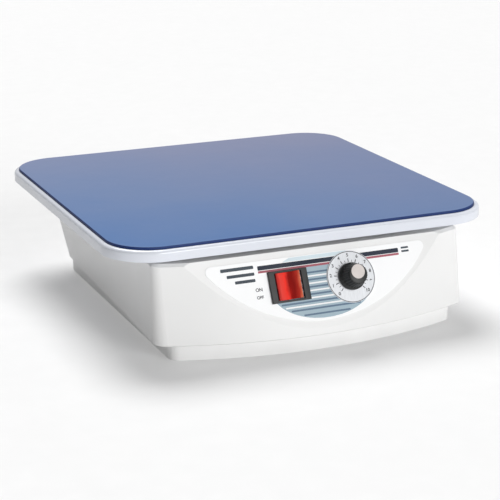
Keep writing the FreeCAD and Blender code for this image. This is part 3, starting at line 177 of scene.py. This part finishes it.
def matting(name):
    """Blue rubber sheet: fine pebble grain, painted sheen that greys it towards the rear right, painted shade on
    its cut edge.
    """
    made, tree, surface, place = shader(name)
    # Painted sheen: the blue greys towards the rear right, standing in for the white surroundings reflected off
    # the far part of the sheet
    sheen_way = Vector((0.5, 0.87, 0.0))
    start, end = (sheen_way.dot(corner) for corner in box("platform_mat"))
    along = node(tree, "VectorMath", {0: place, 1: sheen_way})
    along.operation = "DOT_PRODUCT"
    painted_sheen_share = uneven(tree, along.outputs["Value"], start, end, noise(tree, place, 9.0, 6.0), 0.08)
    painted_sheen_tone = ramp(tree, painted_sheen_share, [(0.0, (0.018, 0.112, 0.325)), (0.35, (0.083, 0.150, 0.318)),
                             (1.0, (0.165, 0.185, 0.306))])
    # Painted shade: every face that does not face up, the cut edge of the sheet, gets a dark navy in place of the
    # blue
    normal = node(tree, "NewGeometry", {}).outputs["True Normal"]
    facing = node(tree, "SeparateXYZ", {"Vector": normal}).outputs["Z"]
    painted_edge_shade_mask = ramp(tree, facing, [(0.80, (0.0, 0.0, 0.0)), (0.97, (1.0, 1.0, 1.0))])
    tone = node(tree, "MixRGB", {"Fac": painted_edge_shade_mask, "Color1": (0.003, 0.026, 0.135, 1.0), "Color2": painted_sheen_tone})
    feed(tree, surface, {"Base Color": tone.outputs["Color"], "Specular IOR Level": 0.36,
                         "Roughness": spread(tree, noise(tree, place, 45.0), 0.50, 0.55)})
    pebble = node(tree, "TexVoronoi", {"Vector": place, "Scale": 1100.0})
    bump(tree, surface, pebble.outputs["Distance"], 0.22, 0.1)
    return made


def lens(name):
    """Red see-through rocker, light painted across it: a painted glow on the left half as if a lamp lit it from
    behind, painted shade in the middle and at both ends, a painted orange highlight near the right end.
    """
    made, tree, surface, place = shader(name)
    left, right = box("switch_rocker")
    across = node(tree, "SeparateXYZ", {"Vector": place}).outputs["X"]
    cloud = noise(tree, place, 160.0, 3.0, (1.0, 1.0, 0.4))
    # Painted light: a bright left half for a lamp that is not there, a dark middle and ends for shade, an orange
    # stripe near the right end for a highlight
    painted_glow_and_highlights = ramp(tree, uneven(tree, across, left.x, right.x, cloud, 0.05), [
        (0.00, (0.36, 0.010, 0.008)), (0.14, (0.78, 0.060, 0.045)), (0.34, (0.88, 0.034, 0.020)),
        (0.49, (0.30, 0.008, 0.006)), (0.60, (0.26, 0.008, 0.006)), (0.76, (0.46, 0.030, 0.018)),
        (0.88, (0.72, 0.190, 0.100)), (1.00, (0.26, 0.010, 0.008))])
    feed(tree, surface, {"Base Color": painted_glow_and_highlights, "Roughness": spread(tree, noise(tree, place, 300.0), 0.10, 0.18),
                         "Subsurface Weight": 0.25, "Subsurface Radius": (0.004, 0.0006, 0.0004),
                         "Subsurface Scale": 0.5, "Coat Weight": 0.1, "Specular IOR Level": 0.3})
    bump(tree, surface, noise(tree, place, 900.0), 0.05, 0.05)
    return made


# Materials of the CAD nodes
WHITE = moulded("white_abs", (0.80, 0.80, 0.795), 0.34, relief=0.10, vary=0.012)
ENAMEL = moulded("white_enamel", (0.680, 0.705, 0.765), 0.24, grain=700.0, relief=0.05, vary=0.012)
BLUE = matting("blue_rubber")
BLACK_RUBBER = moulded("black_rubber", (0.022, 0.022, 0.023), 0.72, grain=1800.0, relief=0.3, vary=0.15)
BLACK = moulded("black_plastic", (0.009, 0.010, 0.010), 0.48, relief=0.15, vary=0.12)
RED = lens("red_lens")
ZINC = metal("zinc_steel", (0.56, 0.57, 0.59), 0.34, (1.0, 24.0, 1.0))
SCREW = metal("screw_steel", (0.52, 0.53, 0.55), 0.30, (1.0, 1.0, 1.0), 700.0)
STEEL = metal("ground_steel", (0.64, 0.65, 0.67), 0.18)
CAST = metal("cast_aluminium", (0.63, 0.64, 0.65), 0.42, (1.0, 1.0, 1.0), 500.0)
BRONZE = metal("bronze", (0.50, 0.33, 0.14), 0.36, (1.0, 1.0, 1.0), 900.0)
BRASS = metal("terminal_brass", (0.66, 0.50, 0.22), 0.25)
CAP = spun("satin_cap", (0.50, 0.46, 0.44), 0.36)
SILVER = metal("dial_silver", (0.64, 0.655, 0.68), 0.42, (30.0, 1.0, 1.0), metallic=0.25)
LABEL = moulded("label_print", (0.92, 0.925, 0.93), 0.40, grain=3500.0, relief=0.06, vary=0.01)
BOARD = moulded("board_green", (0.03, 0.16, 0.06), 0.42, grain=400.0, relief=0.2, vary=0.2)
CORE = moulded("transformer_steel", (0.12, 0.10, 0.08), 0.5, grain=900.0, relief=0.2, vary=0.2)

# Inks of the print
NAVY = moulded("navy_ink", (0.004, 0.011, 0.030), 0.62, vary=0.1)
PALE = moulded("pale_blue_ink", (0.31, 0.42, 0.49), 0.38, vary=0.05)
DEEP = moulded("steel_blue_ink", (0.075, 0.14, 0.22), 0.38, vary=0.08)
RED_INK = moulded("red_ink", (0.36, 0.085, 0.115), 0.55, vary=0.08)
DARK = moulded("dark_ink", (0.02, 0.022, 0.028), 0.4, vary=0.1)
SLATE = moulded("slate_ink", (0.045, 0.062, 0.080), 0.6, vary=0.1)
FAINT = moulded("faint_blue_ink", (0.62, 0.73, 0.78), 0.4, vary=0.03)
CHALK = moulded("white_ink", (0.85, 0.85, 0.85), 0.4, vary=0.02)

FINISH = {"white_abs": WHITE, "white_enamel": ENAMEL, "blue_rubber": BLUE, "black_rubber": BLACK_RUBBER,
          "zinc_steel": ZINC, "screw_steel": SCREW, "ground_steel": STEEL, "cast_aluminium": CAST,
          "bronze": BRONZE, "black_plastic": BLACK, "red_lens": RED, "terminal_brass": BRASS,
          "satin_cap": CAP, "dial_silver": SILVER, "label_print": LABEL, "board_green": BOARD,
          "transformer_steel": CORE}
for row in frame["record"]["subparts"]:
    slots = NODES[row["node"]].data.materials
    slots.clear()
    slots.append(FINISH[row["material_slot"]])

# Edges that a mould or a press leaves round, with their widths in mm
EDGES = {"base_tray": 0.9, "platform_tray": 0.6, "platform_mat": 0.4, "switch_body": 0.35,
         "switch_rocker": 0.5, "power_inlet": 0.4, "knob_cap": 0.12}
BEVEL_FROM = math.radians(42)
for name, width in EDGES.items():
    weld = NODES[name].modifiers.new("seams", "WELD")
    weld.merge_threshold = 1e-6
    soft = NODES[name].modifiers.new("edges", "BEVEL")
    soft.width = width * MM
    soft.segments = 3
    soft.limit_method = "ANGLE"
    soft.angle_limit = BEVEL_FROM
    soft.use_clamp_overlap = True
    soft.harden_normals = True


# Mesh pieces

def meshed(name, mesh):
    """Mesh data from a bmesh, which is used up."""
    data = bpy.data.meshes.new(name)
    mesh.to_mesh(data)
    mesh.free()
    return data


def piece(name, data, finish, body, place):
    """Object from mesh data, set in place, with its finish and the body that it rides on."""
    data.transform(place)
    data.materials.clear()
    data.materials.append(finish)
    made = bpy.data.objects.new(name, data)
    SCENE.collection.objects.link(made)
    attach(made, body)
    return made


def face(mesh, points):
    mesh.faces.new([mesh.verts.new((x * MM, y * MM, 0.0)) for x, y in points])


CORNER_STEPS = 8


def bar(mesh, left, right, low, high, radius):
    """Flat bar with round corners."""
    points = []
    for x, y, start in ((right - radius, low + radius, -90), (right - radius, high - radius, 0),
                        (left + radius, high - radius, 90), (left + radius, low + radius, 180)):
        for step in range(CORNER_STEPS + 1):
            angle = math.radians(start + step * 90 / CORNER_STEPS)
            points.append((x + radius * math.cos(angle), y + radius * math.sin(angle)))
    face(mesh, points)


# Print lies on the label or on the dial plate, a hair above it for each layer of ink
OVERLAY, DIAL = rise("control_overlay"), rise("dial_plate")
INK_LIFT, INK_SPREAD = 0.03, 0.10


def printed(name, mesh, finish, x, drop, out=OVERLAY, layer=1):
    place = panel_frame(x, drop, out + layer * INK_LIFT)
    piece(name, meshed(name, mesh), finish, "base", place)


def ink(name, finish, bars, x=0.0, drop=0.0, layer=1):
    """Printed bars, each (left, right, low, high, corner radius) about a place on the panel."""
    mesh = bmesh.new()
    for sizes in bars:
        bar(mesh, *sizes)
    printed(name, mesh, finish, x, drop, layer=layer)


def words(name, text, size, x, drop, out=OVERLAY):
    """Printed characters, centred on a place on the panel."""
    curve = bpy.data.curves.new(name, "FONT")
    curve.body = text
    curve.size = size * MM
    curve.align_x, curve.align_y = "CENTER", "CENTER"
    curve.offset = INK_SPREAD * MM
    flat = bpy.data.objects.new(f"{name}_curve", curve)
    SCENE.collection.objects.link(flat)
    bpy.context.view_layer.update()
    data = bpy.data.meshes.new_from_object(flat.evaluated_get(bpy.context.evaluated_depsgraph_get()))
    bpy.data.objects.remove(flat)
    piece(name, data, DARK, "base", panel_frame(x, drop, out + INK_LIFT))


# Printed label: a dark stripe over a red one, plain side bars, and an oval field of blue bands
STRIPE_LEFT, STRIPE_RIGHT = -47, 65
BAR_INNER, SMALL_LEFT, SMALL_RIGHT = -50, 67.5, 73.5
FIELD_X, FIELD_DROP, FIELD_WIDE, FIELD_HIGH, FIELD_STEPS = 0.5, 26.5, 41.0, 25.0, 48
FIELD_EDGE = 1.0
MARK_X = -48.5


def field(name, finish, low, high):
    """Slice of the oval field between two heights about its middle."""
    mesh = bmesh.new()
    heights = [low + (high - low) * step / FIELD_STEPS for step in range(FIELD_STEPS + 1)]
    points = [(FIELD_WIDE * math.sqrt(1 - (height / FIELD_HIGH) ** 2), height) for height in heights]
    face(mesh, points + [(-x, y) for x, y in reversed(points)])
    printed(name, mesh, finish, FIELD_X, FIELD_DROP)


def band(middle, height):
    """Straight band across the field, a little short of its edge."""
    reach = FIELD_WIDE * math.sqrt(1 - ((abs(middle) + height / 2) / FIELD_HIGH) ** 2) - FIELD_EDGE
    return (-reach, reach, middle - height / 2, middle + height / 2, height * 0.4)


ink("stripe_navy", NAVY, [(STRIPE_LEFT, STRIPE_RIGHT, -11.8, -8.6, 0.6)])
ink("stripe_red", RED_INK, [(STRIPE_LEFT, STRIPE_RIGHT, -13.8, -12.2, 0.4)])
ink("side_bars", SLATE, [(-75, BAR_INNER, -10.0, -7.6, 0.5), (-71, BAR_INNER, -14.8, -12.6, 0.5),
                         (-65.5, BAR_INNER, -19.4, -17.2, 0.5), (SMALL_LEFT, SMALL_RIGHT, -9.6, -8.2, 0.3),
                         (SMALL_LEFT, SMALL_RIGHT, -12.2, -10.8, 0.3)])
field("field_top", FAINT, 18.3, 21.0)
field("field_bands", PALE, -24.9, 12.7)
ink("band_lines", DEEP, [band(middle, 1.3) for middle in (8.6, 3.4, -1.8, -7.0, -12.2, -17.4, -21.4)],
    FIELD_X, FIELD_DROP, layer=2)
ink("band_lights", CHALK, [band(middle, 1.1) for middle in (6.0, 0.8, -4.4, -9.6, -14.8)],
    FIELD_X, FIELD_DROP, layer=2)
words("mark_on", "ON", 3.4, MARK_X, 25.5)
words("mark_off", "OFF", 3.0, MARK_X, 31.0)

# Dial: a tick for each half step and a number for each whole one, over the knob's travel
DIAL_STEPS = 10
DIAL_FIRST, DIAL_LAST = KNOB_TURN["range_deg"]
TICK_START, TICK_END, LONG_TICK_END = 11.0, 12.4, 13.4
TICK_HALF, LONG_TICK_HALF = 0.2, 0.32
NUMBER_RADIUS, NUMBER_SIZE = 15.9, 3.3
RIM_INNER, RIM_OUTER, RIM_STEPS = 18.2, 18.7, 96

ticks = bmesh.new()
for step in range(2 * DIAL_STEPS + 1):
    angle = math.radians(90 + DIAL_LAST - step * (DIAL_LAST - DIAL_FIRST) / (2 * DIAL_STEPS))
    number, between = divmod(step, 2)
    along = Vector((math.cos(angle), math.sin(angle)))
    across = along.orthogonal() * (TICK_HALF if between else LONG_TICK_HALF)
    inner, outer = along * TICK_START, along * (TICK_END if between else LONG_TICK_END)
    face(ticks, [inner - across, outer - across, outer + across, inner + across])
    if not between:
        spot = along * NUMBER_RADIUS
        words(f"dial_number_{number}", str(number), NUMBER_SIZE, KNOB[0] + spot.x, KNOB[1] - spot.y, DIAL)
printed("dial_ticks", ticks, DARK, *KNOB, DIAL)

rim = bmesh.new()
for step in range(RIM_STEPS):
    a, b = math.tau * step / RIM_STEPS, math.tau * (step + 1) / RIM_STEPS
    corners = ((RIM_INNER, a), (RIM_OUTER, a), (RIM_OUTER, b), (RIM_INNER, b))
    face(rim, [(radius * math.cos(turn), radius * math.sin(turn)) for radius, turn in corners])
printed("dial_rim_line", rim, DARK, *KNOB, DIAL)

# Knob: skirt, fluted grip, flat seat for its cap and a white pointer
FLUTES, KNOB_SIDES = 24, 192
POINTER_HALF = 0.55
POINTER_FOOT, POINTER_TIP = (9.02, 4.9), (7.72, 13.0)


def fluted_knob():
    """Knob about its own axis, from rows of radius, height and depth of the flutes."""
    mesh = bmesh.new()
    profile = [(8.0, 3.6, 0), (8.0, 1.6, 0), (9.7, 1.6, 0), (10.0, 1.9, 0), (10.0, 4.1, 0), (9.7, 4.5, 0),
               (9.05, 4.8, 0.1), (8.75, 5.2, 0.55), (8.2, 9.0, 0.6), (7.72, 12.4, 0.55), (7.5, 13.2, 0.3),
               (7.1, 13.8, 0.05), (6.6, 14.1, 0), (0.4, 14.1, 0)]
    rows = []
    for radius, height, cut in profile:
        row = []
        for index in range(KNOB_SIDES):
            angle = math.tau * index / KNOB_SIDES
            wave = 0.5 - 0.5 * math.cos(angle * FLUTES)
            reach = radius - cut * wave ** 2
            spot = Vector((reach * math.cos(angle), reach * math.sin(angle), height))
            row.append(mesh.verts.new(spot * MM))
        rows.append(row)
    for low, high in zip(rows, rows[1:]):
        for index in range(KNOB_SIDES):
            after = (index + 1) % KNOB_SIDES
            mesh.faces.new((low[index], low[after], high[after], high[index])).smooth = True
    mesh.faces.new(rows[-1])
    bmesh.ops.recalc_face_normals(mesh, faces=mesh.faces)
    return meshed("fluted_knob", mesh)


knob = piece("fluted_knob", fluted_knob(), BLACK, "knob", panel_frame(*KNOB))
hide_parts("control_knob")
pointer = bmesh.new()
pointer.faces.new([pointer.verts.new(Vector((side * POINTER_HALF, radius, height)) * MM)
                   for side, (radius, height) in ((-1, POINTER_FOOT), (1, POINTER_FOOT),
                                                  (1, POINTER_TIP), (-1, POINTER_TIP))])
piece("knob_pointer", meshed("knob_pointer", pointer), CHALK, "knob", panel_frame(*KNOB))

# Stage: white paper, a sky that is brighter on the right, and two soft suns
FLOOR_HALF = 9.0
PAPER = moulded("floor_white", (0.58, 0.58, 0.58), 0.9, grain=40.0, relief=0.0, vary=0.004)
feed(PAPER.node_tree, PAPER.node_tree.nodes["Principled BSDF"],
     {"Emission Color": (1.0, 1.0, 1.0, 1.0), "Emission Strength": 0.25})
sheet = bmesh.new()
bmesh.ops.create_grid(sheet, x_segments=1, y_segments=1, size=FLOOR_HALF)
floor = bpy.data.objects.new("floor", meshed("floor", sheet))
floor.data.materials.append(PAPER)
SCENE.collection.objects.link(floor)

SCENE.world = bpy.data.worlds.new("studio")
SCENE.world.use_nodes = True
sky = SCENE.world.node_tree
direction = node(sky, "TexCoord", {}).outputs["Generated"]
rightward = node(sky, "SeparateXYZ", {"Vector": direction}).outputs["X"]
feed(sky, sky.nodes["Background"], {"Color": (1.0, 1.0, 1.0, 1.0),
                                    "Strength": spread(sky, rightward, 0.02, 0.38, -0.9, 0.9)})


def sun(name, source, strength, width):
    """Sun that shines from the direction of source, as wide as an angle in degrees."""
    lamp = bpy.data.lights.new(name, "SUN")
    lamp.energy = strength
    lamp.angle = math.radians(width)
    made = bpy.data.objects.new(name, lamp)
    made.rotation_euler = Vector(source).to_track_quat("Z", "Y").to_euler()
    SCENE.collection.objects.link(made)


sun("key", (0.22, -1.0, 0.30), 1.95, 26)
sun("top", (0.09, 0.66, 1.0), 3.1, 32)
SCENE.view_settings.view_transform = "Standard"

# Camera at the photograph's viewing angle
CAMERA_PLACE = (-0.47722, -1.15460, 0.40414)
AZIMUTH, ELEVATION, ROLL = (math.radians(angle) for angle in (-22.7516, 16.568, -0.4962))
SENSOR_WIDTH, FOCAL_LENGTH = 36.0, 117.37

optics = bpy.data.cameras.new("camera")
optics.sensor_width = SENSOR_WIDTH
optics.lens = FOCAL_LENGTH
optics.clip_start, optics.clip_end = 0.01, 50.0
camera = bpy.data.objects.new("camera", optics)
camera.matrix_world = (Matrix.Translation(CAMERA_PLACE) @ Matrix.Rotation(AZIMUTH, 4, "Z")
                       @ Matrix.Rotation(math.pi / 2 - ELEVATION, 4, "X") @ Matrix.Rotation(ROLL, 4, "Z"))
SCENE.collection.objects.link(camera)
SCENE.camera = camera
